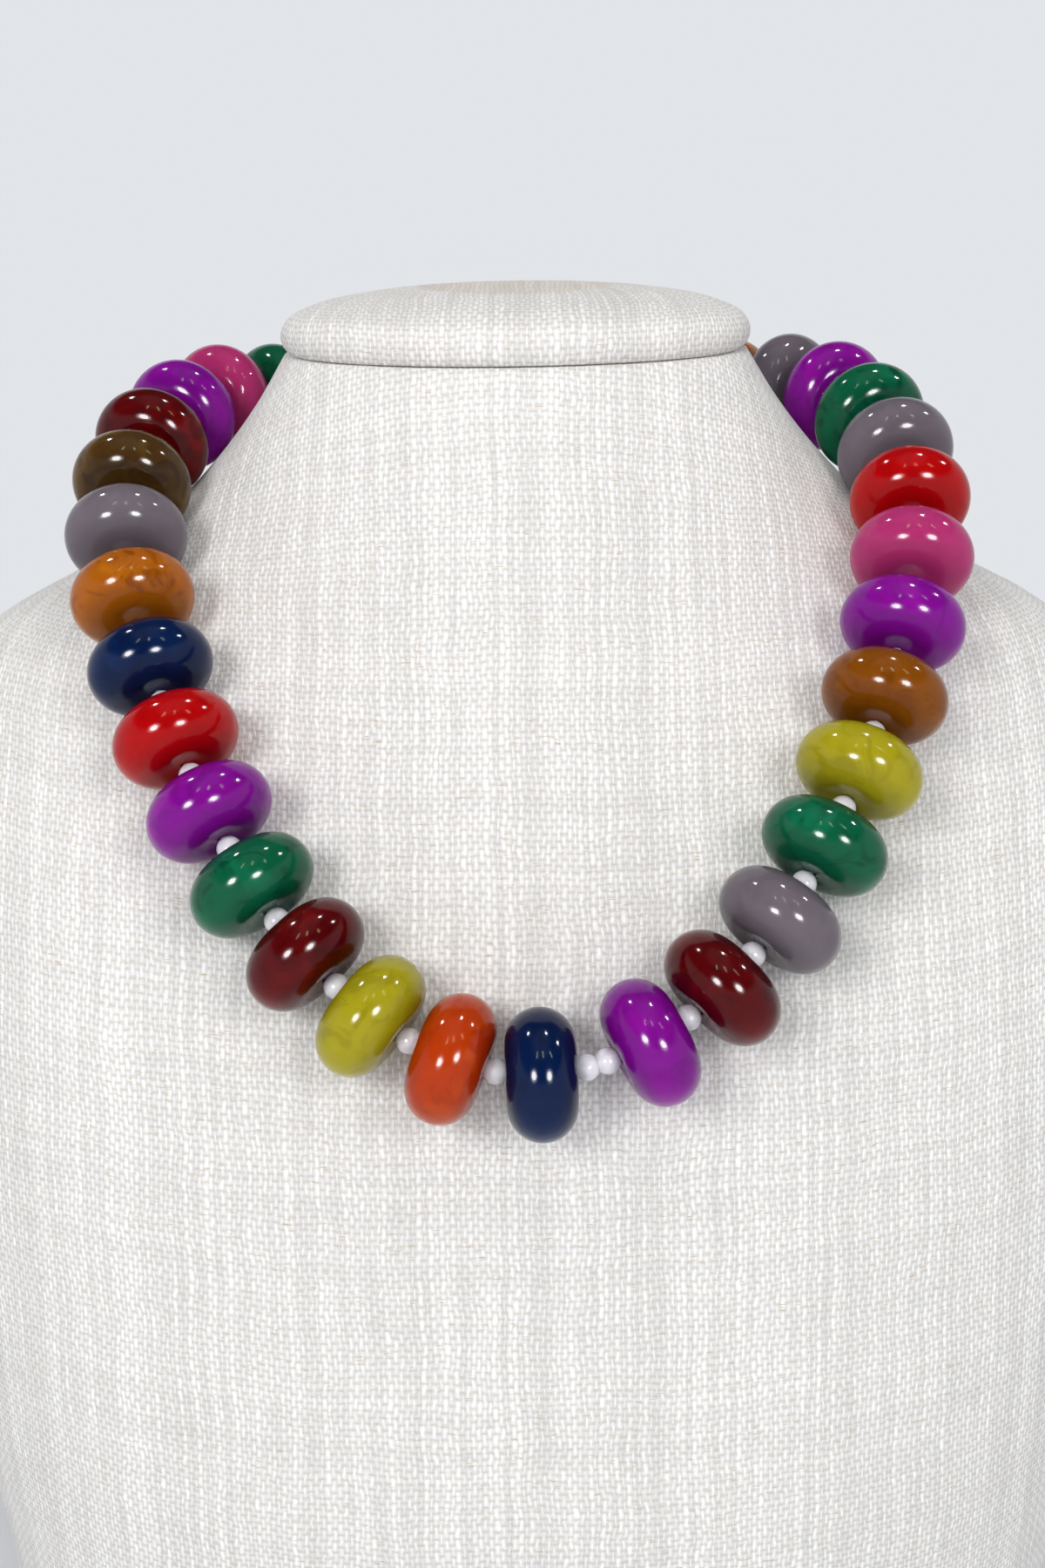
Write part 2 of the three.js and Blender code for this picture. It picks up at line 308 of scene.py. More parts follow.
def node_points(node):
    """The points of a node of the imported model."""
    mesh = frame["nodes"][node].data
    points = np.empty(len(mesh.vertices) * 3)
    mesh.vertices.foreach_get("co", points)
    return points.reshape(-1, 3)


def middle_and_axes(node):
    """The middle of a node's points and the three directions of their spread, narrowest
    first."""
    points = np.unique(np.round(node_points(node), 6), axis=0)
    middle = points.mean(0)
    return middle, np.linalg.eigh(np.cov((points - middle).T))[1]


def frame_at(way):
    """Two directions across a direction."""
    across = np.cross(way, (0.0, 0.0, 1.0))
    across /= np.linalg.norm(across)
    return across, np.cross(way, across)


def bead_axes(node):
    """The middle of a rondelle and three directions: its hole's, and two across it."""
    middle, axes = middle_and_axes(node)
    along = axes[:, 0]
    return middle, along, *frame_at(along)


# ---------------------------------------------------------------- material helpers

class Nodes:
    """Short ways to add and join nodes in one node tree."""

    def __init__(self, tree):
        self.tree = tree

    def add(self, kind, **values):
        node = self.tree.nodes.new(kind)
        for key, value in values.items():
            if key in node.inputs:
                self.feed(node.inputs[key], value)
            else:
                setattr(node, key, value)
        return node

    def feed(self, socket, value):
        if isinstance(value, bpy.types.NodeSocket):
            self.tree.links.new(value, socket)
        else:
            socket.default_value = value

    def math(self, operation, *values, clamp=False):
        node = self.tree.nodes.new("ShaderNodeMath")
        node.operation = operation
        node.use_clamp = clamp
        for socket, value in zip(node.inputs, values):
            self.feed(socket, value)
        return node.outputs[0]

    def noise(self, place, scale, detail=2.0, roughness=0.5, distortion=0.0):
        node = self.tree.nodes.new("ShaderNodeTexNoise")
        self.feed(node.inputs["Vector"], place)
        node.inputs["Scale"].default_value = scale
        node.inputs["Detail"].default_value = detail
        node.inputs["Roughness"].default_value = roughness
        node.inputs["Distortion"].default_value = distortion
        return node

    def stretch(self, place, amounts):
        node = self.tree.nodes.new("ShaderNodeVectorMath")
        node.operation = "MULTIPLY"
        self.feed(node.inputs[0], place)
        node.inputs[1].default_value = amounts
        return node.outputs[0]

    def ramp(self, value, low, high, to_low=0.0, to_high=1.0):
        node = self.tree.nodes.new("ShaderNodeMapRange")
        node.interpolation_type = "SMOOTHSTEP"
        self.feed(node.inputs["Value"], value)
        for key, number in (("From Min", low), ("From Max", high),
                            ("To Min", to_low), ("To Max", to_high)):
            node.inputs[key].default_value = number
        return node.outputs["Result"]

    def mix(self, share, first, second, blend="MIX"):
        node = self.tree.nodes.new("ShaderNodeMix")
        node.data_type = "RGBA"
        node.blend_type = blend
        self.feed(node.inputs["Factor"], share)
        for key, value in (("A", first), ("B", second)):
            socket = next(s for s in node.inputs if s.name == key and s.type == "RGBA")
            self.feed(socket, value if isinstance(value, bpy.types.NodeSocket)
                      else (*value, 1.0))
        return next(s for s in node.outputs if s.type == "RGBA")

    def bump(self, height, distance, strength=1.0, normal=None):
        node = self.tree.nodes.new("ShaderNodeBump")
        self.feed(node.inputs["Height"], height)
        node.inputs["Distance"].default_value = distance
        node.inputs["Strength"].default_value = strength
        if normal is not None:
            self.feed(node.inputs["Normal"], normal)
        return node.outputs["Normal"]


class MaterialNodes(Nodes):
    """The nodes of a new material, with its main shader."""

    def __init__(self, name):
        self.material = bpy.data.materials.new(name)
        self.material.use_nodes = True
        super().__init__(self.material.node_tree)
        self.shader = self.tree.nodes["Principled BSDF"]

    def set(self, **values):
        for key, value in values.items():
            self.feed(self.shader.inputs[key.replace("_", " ")], value)


def resin_material(slot, gloss):
    """Polished cast resin with soft clouds, a few fine dark veins and a little depth. Shade
    is painted towards the drilled faces, which the neighbouring beads shade, and light is
    painted on the underside, which is paler where it faces down, standing in for light
    that has come down through the bead."""
    recipe = RESINS[slot]
    tone, deep_and_painted_shade, pale_and_painted_light = recipe["tone"], recipe["deep_and_painted_shade"], recipe["pale_and_painted_light"]
    mottle = recipe["mottle"]
    nodes = MaterialNodes(slot)
    place = nodes.add("ShaderNodeTexCoord").outputs["Object"]
    clouds = nodes.noise(place, CLOUD_SCALE, distortion=1.0).outputs["Fac"]
    folds = nodes.noise(place, FOLD_SCALE, distortion=1.6).outputs["Fac"]
    body = nodes.mix(nodes.ramp(clouds, 0.50, 0.66, 0.0, mottle), tone, pale_and_painted_light)
    body = nodes.mix(nodes.ramp(folds, 0.50, 0.32, 0.0, mottle), body, deep_and_painted_shade)
    if recipe["veins"]:
        line = nodes.math("ABSOLUTE", nodes.math("SUBTRACT", folds, 0.5))
        patch = nodes.noise(place, PATCH_SCALE, detail=1).outputs["Fac"]
        vein = nodes.math("MULTIPLY", nodes.ramp(line, 0.014, 0.0), recipe["veins"])
        vein = nodes.math("MULTIPLY", vein, nodes.ramp(patch, 0.56, 0.66))
        body = nodes.mix(vein, body, tuple(0.35 * part for part in deep_and_painted_shade))
    # painted light: the side that faces down is mixed towards the pale tone, as if light came down
    # through the bead
    facing = nodes.add("ShaderNodeSeparateXYZ",
                       Vector=nodes.add("ShaderNodeNewGeometry").outputs["Normal"])
    under = nodes.ramp(facing.outputs["Z"], 0.15, -0.85, 0.0, 0.5)
    body = nodes.mix(under, body, pale_and_painted_light)
    # painted shade: the drilled faces, shaded by the neighbouring beads, are mixed towards the deep
    # tone
    drilled = nodes.add("ShaderNodeAttribute", attribute_name="drilled").outputs["Fac"]
    body = nodes.mix(nodes.ramp(drilled, 0.4, 1.0, 0.0, 0.55), body, deep_and_painted_shade)
    nodes.set(
        Base_Color=body, Roughness=gloss, IOR=1.5, Specular_IOR_Level=0.20,
        Subsurface_Weight=recipe["depth"], Subsurface_Radius=(1.0, 1.0, 1.0),
        Subsurface_Scale=LIGHT_SPREAD)
    return nodes.material


def spacer_material():
    """Milky glass, a little cloudy."""
    nodes = MaterialNodes("spacer_white")
    place = nodes.add("ShaderNodeTexCoord").outputs["Object"]
    clouds = nodes.noise(place, 420, detail=2).outputs["Fac"]
    body = nodes.mix(nodes.ramp(clouds, 0.35, 0.65), (0.72, 0.70, 0.75), (0.85, 0.83, 0.87))
    nodes.set(
        Base_Color=body, Roughness=0.1, IOR=1.5, Subsurface_Weight=0.8,
        Subsurface_Radius=(1.0, 0.9, 1.0), Subsurface_Scale=LIGHT_SPREAD)
    return nodes.material


def thread_material():
    """Twisted white beading thread."""
    nodes = MaterialNodes("beading_thread")
    place = nodes.add("ShaderNodeTexCoord").outputs["Object"]
    strands = nodes.noise(nodes.stretch(place, (1, 1, 3)), 1800, detail=1).outputs["Fac"]
    body = nodes.mix(strands, (0.62, 0.60, 0.58), (0.85, 0.84, 0.82))
    nodes.set(Base_Color=body, Roughness=0.7,
              Normal=nodes.bump(strands, 0.05 * MM, 0.6))
    return nodes.material


def clasp_material():
    """Silver-coloured metal with fine turning marks."""
    nodes = MaterialNodes("clasp_silver")
    place = nodes.add("ShaderNodeTexCoord").outputs["Object"]
    marks = nodes.noise(nodes.stretch(place, (30, 1, 1)), 300, detail=2).outputs["Fac"]
    smear = nodes.noise(place, 260, detail=3).outputs["Fac"]
    nodes.set(Base_Color=nodes.mix(smear, (0.70, 0.70, 0.72), (0.82, 0.82, 0.83)),
              Metallic=1.0, Roughness=nodes.ramp(smear, 0.3, 0.7, 0.16, 0.3),
              Normal=nodes.bump(marks, 0.02 * MM, 0.4))
    return nodes.material


def linen_material(name, linen, tint, disc_middle=None):
    """Plain weave. Upright threads float over every second level thread, and both vary
    in thickness and colour as spun flax does. The cloth map is in metres. A cap has a
    faint tan disc where its cover is gathered under the cloth."""
    slow_sway = 2.6 * MM
    quick_sway = 0.75 * MM
    nodes = MaterialNodes(name)
    cloth = nodes.add("ShaderNodeUVMap", uv_map="cloth").outputs["UV"]
    sway = nodes.noise(cloth, 60, detail=2)
    wobble = nodes.noise(cloth, 420, detail=1)
    parts = nodes.add("ShaderNodeSeparateXYZ", Vector=cloth)
    shift = nodes.add("ShaderNodeSeparateColor", Color=sway.outputs["Color"])
    small = nodes.add("ShaderNodeSeparateColor", Color=wobble.outputs["Color"])

    def thread_count(position, slow, quick, pitch):
        """Which thread a place lies in, counted along a level or an upright line."""
        moved = nodes.math("MULTIPLY_ADD", nodes.math("SUBTRACT", slow, 0.5), slow_sway,
                           position)
        moved = nodes.math("MULTIPLY_ADD", nodes.math("SUBTRACT", quick, 0.5), quick_sway,
                           moved)
        return nodes.math("DIVIDE", moved, pitch)

    across = thread_count(parts.outputs["X"], shift.outputs[0], small.outputs[0],
                          linen.warp_pitch)
    up = thread_count(parts.outputs["Y"], shift.outputs[1], small.outputs[1],
                      linen.weft_pitch)
    column = nodes.math("FLOOR", across)
    row = nodes.math("FLOOR", up)
    in_column = nodes.math("SUBTRACT", nodes.math("FRACT", across), 0.5)

    # each upright thread floats over one level thread and under the next
    turn = nodes.math("ADD", nodes.math("MULTIPLY", up, 0.5),
                      nodes.math("MULTIPLY", column, 0.5))
    float_number = nodes.math("FLOOR", turn)
    in_float = nodes.math("SUBTRACT", nodes.math("FRACT", turn), 0.5)

    column_id = nodes.add("ShaderNodeTexWhiteNoise", noise_dimensions="1D", W=column)
    row_id = nodes.add("ShaderNodeTexWhiteNoise", noise_dimensions="1D",
                       W=nodes.math("ADD", row, 900.5))
    both = nodes.add("ShaderNodeCombineXYZ", X=column, Y=float_number)
    float_id = nodes.add("ShaderNodeTexWhiteNoise", noise_dimensions="2D",
                         Vector=both.outputs[0])
    half_width = nodes.math("MULTIPLY_ADD", column_id.outputs["Value"], 0.14, 0.25)
    half_length = nodes.math("MULTIPLY_ADD", float_id.outputs["Value"], 0.12, 0.355)

    width_share = nodes.math("DIVIDE", in_column, half_width)
    length_share = nodes.math("DIVIDE", in_float, half_length)
    reach = nodes.math("ADD", nodes.math("POWER", nodes.math("ABSOLUTE", width_share), 2.0),
                       nodes.math("POWER", nodes.math("ABSOLUTE", length_share), 2.0))
    warp_height = nodes.ramp(reach, 1.25, 0.0)
    warp_mask = nodes.math("MULTIPLY", nodes.ramp(reach, 1.35, 0.45), nodes.math(
        "MULTIPLY_ADD", float_id.outputs["Value"], 0.35, 0.65))

    # the level thread shows between the floats
    in_row = nodes.math("SUBTRACT", nodes.math("FRACT", up), 0.5)
    weft_round = nodes.ramp(nodes.math("ABSOLUTE", in_row), 0.5, 0.12)
    weft_height = nodes.math("MULTIPLY", weft_round, 0.22)
    height = nodes.math("MAXIMUM", weft_height, warp_height)

    # colours, with painted shade in the gap colour at the edges of each level thread
    patches = nodes.noise(nodes.stretch(cloth, (1, 0.08, 1)), 700, detail=2).outputs["Fac"]
    ground = nodes.mix(nodes.math("MULTIPLY", weft_round, 0.9), linen.gap_shade_colour[:],
                       linen.weft_colour[:])
    body = nodes.mix(warp_mask, ground, linen.warp_colour[:])
    tone = nodes.math("MULTIPLY_ADD", column_id.outputs["Value"], 0.10, 0.90)
    tone = nodes.math("MULTIPLY", tone, nodes.math(
        "MULTIPLY_ADD", row_id.outputs["Value"], 0.06, 0.95))
    tone = nodes.math("MULTIPLY", tone, nodes.ramp(patches, 0.3, 0.7, 0.955, 1.02))
    spun = nodes.noise(nodes.stretch(cloth, (1, 0.22, 1)), 3600, detail=1).outputs["Fac"]
    tone = nodes.math("MULTIPLY", tone, nodes.ramp(spun, 0.3, 0.7, 0.95, 1.04))
    grey = nodes.add("ShaderNodeCombineColor", Red=tone, Green=tone, Blue=tone)
    body = nodes.mix(1.0, body, grey.outputs[0], blend="MULTIPLY")

    # stray tan fibres, short and mostly level
    stray = nodes.noise(nodes.stretch(cloth, (0.11, 1, 1)), 4200, detail=1).outputs["Fac"]
    rare = nodes.noise(cloth, 260, detail=1).outputs["Fac"]
    fibre = nodes.math("MULTIPLY", nodes.ramp(stray, 0.66, 0.71), nodes.ramp(rare, 0.44, 0.56))
    fibre = nodes.math("MULTIPLY", fibre, 0.8)
    body = nodes.mix(fibre, body, linen.slub_colour[:])
    body = nodes.mix(1.0, body, tint, blend="MULTIPLY")
    if disc_middle is not None:
        place = nodes.add("ShaderNodeTexCoord").outputs["Object"]
        away = nodes.add("ShaderNodeVectorMath", operation="DISTANCE")
        nodes.feed(away.inputs[0], place)
        away.inputs[1].default_value = disc_middle
        disc = nodes.ramp(away.outputs["Value"], linen.disc_radius + 1.2 * MM,
                          linen.disc_radius - 1.2 * MM, 0.0, 0.28)
        body = nodes.mix(disc, body, linen.slub_colour[:])

    fuzz = nodes.noise(cloth, 5200, detail=1).outputs["Fac"]
    height = nodes.math("MULTIPLY_ADD", fuzz, 0.12, height)
    nodes.set(Base_Color=body, Roughness=0.92, Specular_IOR_Level=0.05,
              Sheen_Weight=0.12, Sheen_Roughness=0.5,
              Normal=nodes.bump(height, linen.thread_height, 0.8))
    return nodes.material


# ---------------------------------------------------------------- the bust

def cad_rings(node):
    """The level rings of points of a lofted node, lowest first. Each is its points and
    how far each of them is turned round the ring's middle, from 0 at the back."""
    points = np.unique(np.round(node_points(node), 7), axis=0)
    same_level = 0.02 * MM
    rings = []
    for height in np.unique(np.round(points[:, 2], 5)):
        ring = points[np.abs(points[:, 2] - height) < same_level]
        middle = (ring[:, 1].min() + ring[:, 1].max()) / 2
        reach = np.hypot(ring[:, 0], ring[:, 1] - middle)
        # the centre of an end face isn't part of its ring
        ring = ring[reach > reach.max() * 0.4]
        rings.append((ring, np.arctan2(ring[:, 0], ring[:, 1] - middle)))
    return rings


def smooth_curve(values, places, wanted, periodic=False):
    """Cubic interpolation of rows of values, with slopes taken from their neighbours."""
    values, places = np.asarray(values, float), np.asarray(places, float)
    if periodic:
        span = places[-1] - places[0]
        values = np.concatenate([values[-2:-1], values, values[1:2]])
        places = np.concatenate([[places[-2] - span], places, [places[1] + span]])
    slopes = np.gradient(values, places, axis=0)
    index = np.clip(np.searchsorted(places, wanted) - 1, 0, len(places) - 2)
    step = (places[index + 1] - places[index])
    share = (wanted - places[index]) / step
    shape = (-1,) + (1,) * (values.ndim - 1)
    share, step = share.reshape(shape), step.reshape(shape)
    start, end = values[index], values[index + 1]
    return (
        (2 * share**3 - 3 * share**2 + 1) * start
        + (share**3 - 2 * share**2 + share) * step * slopes[index]
        + (3 * share**2 - 2 * share**3) * end
        + (share**3 - share**2) * step * slopes[index + 1]
    )


def fine_rings(node, sides, rows):
    """A smooth grid of points through a lofted node's rings: rows by sides by 3. The
    first column is the centre of the back."""
    turns = np.linspace(0, 2 * math.pi, sides, endpoint=False)
    outlines = []
    for ring, turn in cad_rings(node):
        order = np.argsort(turn)
        turn, ring = turn[order], ring[order]
        turn = np.append(turn, turn[0] + 2 * math.pi)
        ring = np.vstack([ring, ring[:1]])
        wanted = (turns - turn[0]) % (2 * math.pi) + turn[0]
        outlines.append(smooth_curve(ring, turn, wanted, periodic=True))
    outlines = np.array(outlines)
    spacing = np.linalg.norm(np.diff(outlines, axis=0), axis=2).mean(1)
    places = np.concatenate([[0], np.cumsum(spacing)])
    wanted = np.linspace(0, places[-1], rows)
    return smooth_curve(outlines, places, wanted)


def cloth_map(grid):
    """Cloth coordinates in metres: round from the centre of the front, round from the
    centre of the back, and up. The cover has a front and a back panel."""
    rows, sides, _ = grid.shape
    front = sides // 2
    closed = np.concatenate([grid, grid[:, :1]], axis=1)
    steps = np.linalg.norm(np.diff(closed, axis=1), axis=2)
    round_way = np.concatenate([np.zeros((rows, 1)), np.cumsum(steps, axis=1)], axis=1)
    from_back = round_way.copy()
    from_back[:, front:] -= round_way[:, -1:]
    from_front = round_way - round_way[:, front:front + 1]
    rises = np.linalg.norm(np.diff(closed, axis=0), axis=2)
    up_way = np.concatenate([np.zeros((1, sides + 1)), np.cumsum(rises, axis=0)])
    return from_front, from_back, up_way


def covered_form(name, grid, material):
    """A closed form from a grid of points, with its cloth map. The map is cut at the
    two sides, where the front and back panels of the cover meet."""
    rows, sides, _ = grid.shape
    from_front, from_back, up_way = cloth_map(grid)
    low_centre = grid[0].mean(0)
    high_centre = grid[-1].mean(0)
    points = np.concatenate([grid.reshape(-1, 3), [low_centre, high_centre]])
    faces, uvs = [], []
    for row in range(rows - 1):
        for side in range(sides):
            after = (side + 1) % sides
            low, high = row * sides, (row + 1) * sides
            round_way = from_front if sides // 4 <= side < 3 * sides // 4 else from_back
            faces.append((low + side, high + side, high + after, low + after))
            uvs.extend([
                (round_way[row, side], up_way[row, side]),
                (round_way[row + 1, side], up_way[row + 1, side]),
                (round_way[row + 1, side + 1], up_way[row + 1, side + 1]),
                (round_way[row, side + 1], up_way[row, side + 1]),
            ])
    for ring, centre, flip in ((0, len(points) - 2, False), (rows - 1, len(points) - 1, True)):
        start = ring * sides
        for side in range(sides):
            after = (side + 1) % sides
            face = (start + side, start + after, centre)
            faces.append(face[::-1] if flip else face)
            uvs.extend([tuple(points[i][:2]) for i in faces[-1]])
    mesh = bpy.data.meshes.new(name)
    mesh.from_pydata([tuple(p) for p in points], [], faces)
    layer = mesh.uv_layers.new(name="cloth")
    layer.data.foreach_set("uv", np.asarray(uvs, dtype=np.float32).ravel())
    return link_piece(name, mesh, material)


class NECKLACE_OT_bust(bpy.types.Operator):
    """Cover the neck bust and its padded cap in linen"""

    bl_idname = "necklace.bust"
    bl_label = "Linen bust"

    def execute(self, context):
        linen = context.scene.necklace_linen
        cloth = linen_material("linen", linen, (1.0, 0.995, 0.985))
        cap_low, cap_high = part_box("neck_cap")
        top = ((cap_low.x + cap_high.x) / 2, (cap_low.y + cap_high.y) / 2, cap_high.z)
        cap_cloth = linen_material("linen_cap", linen, (1.0, 0.99, 0.975), top)
        body = covered_form("linen_bust", fine_rings("bust_body", *BUST_GRID), cloth)
        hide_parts("bust_body")
        cap = covered_form("linen_neck_cap", fine_rings("neck_cap", *CAP_GRID), cap_cloth)
        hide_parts("neck_cap")
        return {"FINISHED"}


# ---------------------------------------------------------------- the beads

def rondelle_outline(beads):
    """Half outline of a rondelle from the rim over the crown to the hole, as rows of
    radius and distance from the middle."""
    rim = np.linspace(0, math.pi / 2, 15)
    swell = beads.radius - beads.crown_radius
    outer = np.stack([beads.crown_radius + swell * np.cos(rim),
                      beads.half_thickness * np.sin(rim)], 1)
    dip = np.linspace(0, 1, 7)[1:]
    radii = beads.crown_radius + (beads.hole_radius * 1.25 - beads.crown_radius) * dip
    drop = (beads.half_thickness - beads.hole_half_length) * (1 - np.cos(dip * math.pi)) / 2
    face = np.stack([radii, beads.half_thickness - drop], 1)
    # the face rounds over into the hole
    mouth = np.array([
        [beads.hole_radius * 1.06, beads.hole_half_length - 0.12 * MM],
        [beads.hole_radius, beads.hole_half_length - 0.45 * MM],
        [beads.hole_radius, 0.5 * beads.hole_half_length],
    ])
    return np.concatenate([outer, face, mouth])


def turned(outline, middle, along, across, third, sides):
    """Points of an outline turned about an axis, ring by ring."""
    turns = np.linspace(0, 2 * math.pi, sides, endpoint=False)
    round_way = np.outer(np.cos(turns), across) + np.outer(np.sin(turns), third)
    return np.concatenate([
        middle + along * distance + round_way * radius for radius, distance in outline])


class NECKLACE_OT_rondelles(bpy.types.Operator):
    """Turn every rondelle as a smooth bead of polished resin"""

    bl_idname = "necklace.rondelles"
    bl_label = "Resin rondelles"

    def execute(self, context):
        beads = context.scene.necklace_beads
        half = rondelle_outline(beads)
        mirrored = half[1:][::-1] * (1, -1)
        outline = np.concatenate([mirrored, half])
        faces = ring_faces(len(outline), beads.sides, closed=True)
        # how near each point lies to a drilled face, which sets the painted shade of the resin
        drilled = np.where(outline[:, 0] < beads.crown_radius, 1.0,
                           np.abs(outline[:, 1]) / beads.half_thickness)
        drilled = np.repeat(drilled, beads.sides)
        resins = {slot: resin_material(slot, beads.gloss) for slot in RESINS}
        for node in RONDELLES:
            slot = SLOT_OF_NODE[node]
            points = turned(outline, *bead_axes(node), beads.sides)
            bead = make_piece("bead_" + node, points, faces, resins[slot], drilled)
            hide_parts(node)
        return {"FINISHED"}


# ---------------------------------------------------------------- thread and spacers

def loop_order():
    """Rondelle nodes in the order they are threaded, from behind the neck on the left
    round the front to behind the neck on the right."""
    left = [n for n in RONDELLES if "_left_" in n]
    right = [n for n in RONDELLES if "_right_" in n]
    return left[::-1] + ["rondelle_centre"] + right


def threaded_way():
    """Middles of the rondelles and the clasp in order round the loop, with the direction
    of the thread at each."""
    names = loop_order() + ["barrel_clasp"]
    middles = []
    directions = []
    for name in names:
        middle, axes = middle_and_axes(name)
        middles.append(middle)
        directions.append(axes[:, 2] if name == "barrel_clasp" else axes[:, 0])
    middles = np.array(middles)
    directions = np.array(directions)
    onward = np.roll(middles, -1, axis=0) - np.roll(middles, 1, axis=0)
    directions *= np.sign((directions * onward).sum(1))[:, None]
    return names, middles, directions


def bridge(start, end, start_way, end_way, share):
    """A point of the thread between two threaded pieces, and its direction there."""
    reach = np.linalg.norm(end - start)
    a, b = start_way * reach, end_way * reach
    place = ((2 * share**3 - 3 * share**2 + 1) * start + (share**3 - 2 * share**2 + share) * a
             + (3 * share**2 - 2 * share**3) * end + (share**3 - share**2) * b)
    way = ((6 * share**2 - 6 * share) * start + (3 * share**2 - 4 * share + 1) * a
           + (6 * share - 6 * share**2) * end + (3 * share**2 - 2 * share) * b)
    return place, way / np.linalg.norm(way)


def spacer_outline(beads):
    """Outline of a spacer from one mouth of its hole round to the other."""
    hole = beads.thread_radius * 1.25
    first = math.asin(hole / beads.spacer_radius) * 1.12
    turns = np.linspace(first, math.pi - first, 15)
    ball = np.stack([np.sin(turns), np.cos(turns)], 1) * beads.spacer_radius
    mouth = math.cos(first) * beads.spacer_radius - 0.25 * MM
    return np.concatenate([[(hole, mouth)], ball, [(hole, -mouth)]])


def strand_gaps(names):
    """Each strand with the numbers of the gaps it bridges. Gap 0 follows the first
    threaded piece, and the last gap leads from the clasp back to it."""
    strands = []
    start = -1
    for strand, last_piece in STRAND_ENDS:
        end = names.index(last_piece)
        strands.append((strand, [gap % len(names) for gap in range(start, end)]))
        start = end
    return strands


def spacer_shares(before, after, reach, beads):
    """Where the spacers lie between two threaded pieces, as shares of the way: half a
    step from each rondelle, and only one in the middle where the two would meet."""
    half_step = beads.spacer_gap / 2 / reach
    shares = []
    if before != "barrel_clasp":
        shares.append(half_step)
    if after != "barrel_clasp":
        shares.append(1 - half_step)
    if len(shares) == 2 and shares[1] - shares[0] < beads.spacer_radius / reach:
        shares = [0.5]
    return shares


def thread_tube(path, radius):
    """Points and faces of a round thread along a path of places and directions."""
    turns = np.linspace(0, 2 * math.pi, THREAD_SIDES, endpoint=False)
    points = []
    for place, way in path:
        across, third = frame_at(way)
        points.extend(
            place + radius * (math.cos(t) * across + math.sin(t) * third) for t in turns)
    return points, ring_faces(len(path), THREAD_SIDES)


class NECKLACE_OT_strand(bpy.types.Operator):
    """Thread the milky spacers between the rondelles"""

    bl_idname = "necklace.strand"
    bl_label = "Spacers and thread"

    def execute(self, context):
        beads = context.scene.necklace_beads
        names, middles, ways = threaded_way()
        after = [*range(1, len(names)), 0]
        gaps = list(zip(middles, middles[after], ways, ways[after]))
        milky, thread = spacer_material(), thread_material()
        ball = spacer_outline(beads)
        ball_faces = ring_faces(len(ball), SPACER_SIDES)
        thread_shares = np.linspace(0, 1, THREAD_STEPS + 1)[:-1]
        for node, numbers in strand_gaps(names):
            path = [bridge(*gaps[gap], share) for gap in numbers for share in thread_shares]
            path.append(bridge(*gaps[numbers[-1]], 1.0))
            points, faces = thread_tube(path, beads.thread_radius)
            thread_faces = len(faces)
            for gap in sorted(numbers):
                reach = np.linalg.norm(gaps[gap][1] - gaps[gap][0])
                for share in spacer_shares(names[gap], names[after[gap]], reach, beads):
                    place, way = bridge(*gaps[gap], share)
                    base = len(points)
                    points.extend(turned(ball, place, way, *frame_at(way), SPACER_SIDES))
                    faces.extend(tuple(base + i for i in face) for face in ball_faces)
            piece = make_piece("threaded_" + node, points, faces, milky)
            piece.data.materials.append(thread)
            for polygon in piece.data.polygons[:thread_faces]:
                polygon.material_index = 1
            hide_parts(node)
        return {"FINISHED"}


class NECKLACE_OT_clasp(bpy.types.Operator):
    """Turn the plain barrel clasp behind the neck"""

    bl_idname = "necklace.clasp"
    bl_label = "Barrel clasp"

    def execute(self, context):
        node = "barrel_clasp"
        _, middles, ways = threaded_way()
        middle, way = middles[-1], ways[-1]
        along = (node_points(node) - middle) @ way
        half_length = along.max()
        outward = node_points(node) - middle - np.outer(along, way)
        radius = np.linalg.norm(outward, axis=1).max()
        side = np.array(CLASP_SIDE) * (radius, half_length)
        outline = np.concatenate([side, side[:-1][::-1] * (1, -1)])
        points = turned(outline, middle, way, *frame_at(way), CLASP_SIDES)
        faces = ring_faces(len(outline), CLASP_SIDES, closed=True)
        piece = make_piece("silver_barrel_clasp", points, faces, clasp_material())
        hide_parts(node)
        return {"FINISHED"}


# ---------------------------------------------------------------- stage

def direction(azimuth, elevation, distance):
    """A place round the lamps' target. Azimuth 0 is in front and positive is to the
    right."""
    turn, lift = math.radians(azimuth), math.radians(elevation)
    way = Vector((math.sin(turn) * math.cos(lift), -math.cos(turn) * math.cos(lift),
                  math.sin(lift)))
    return Vector(LAMP_TARGET) + distance * way


def add_lamp(name, kind, place, size, height, power, colour):
    """An area lamp aimed at the lamps' target, a strip if it has a height."""
    lamp = bpy.data.lights.new(name, "AREA")
    lamp.shape = "DISK" if height is None else "RECTANGLE"
    lamp.size = size
    if height is not None:
        lamp.size_y = height
    lamp.energy = power
    lamp.color = colour
    light = bpy.data.objects.new(name, lamp)
    light.location = place
    light.rotation_euler = (Vector(LAMP_TARGET) - place).to_track_quat("-Z", "Y").to_euler()
    light.visible_camera = False
    if kind == "matt":
        light.visible_glossy = False
    else:
        light.visible_diffuse = False
        light.visible_transmission = False
    bpy.context.scene.collection.objects.link(light)


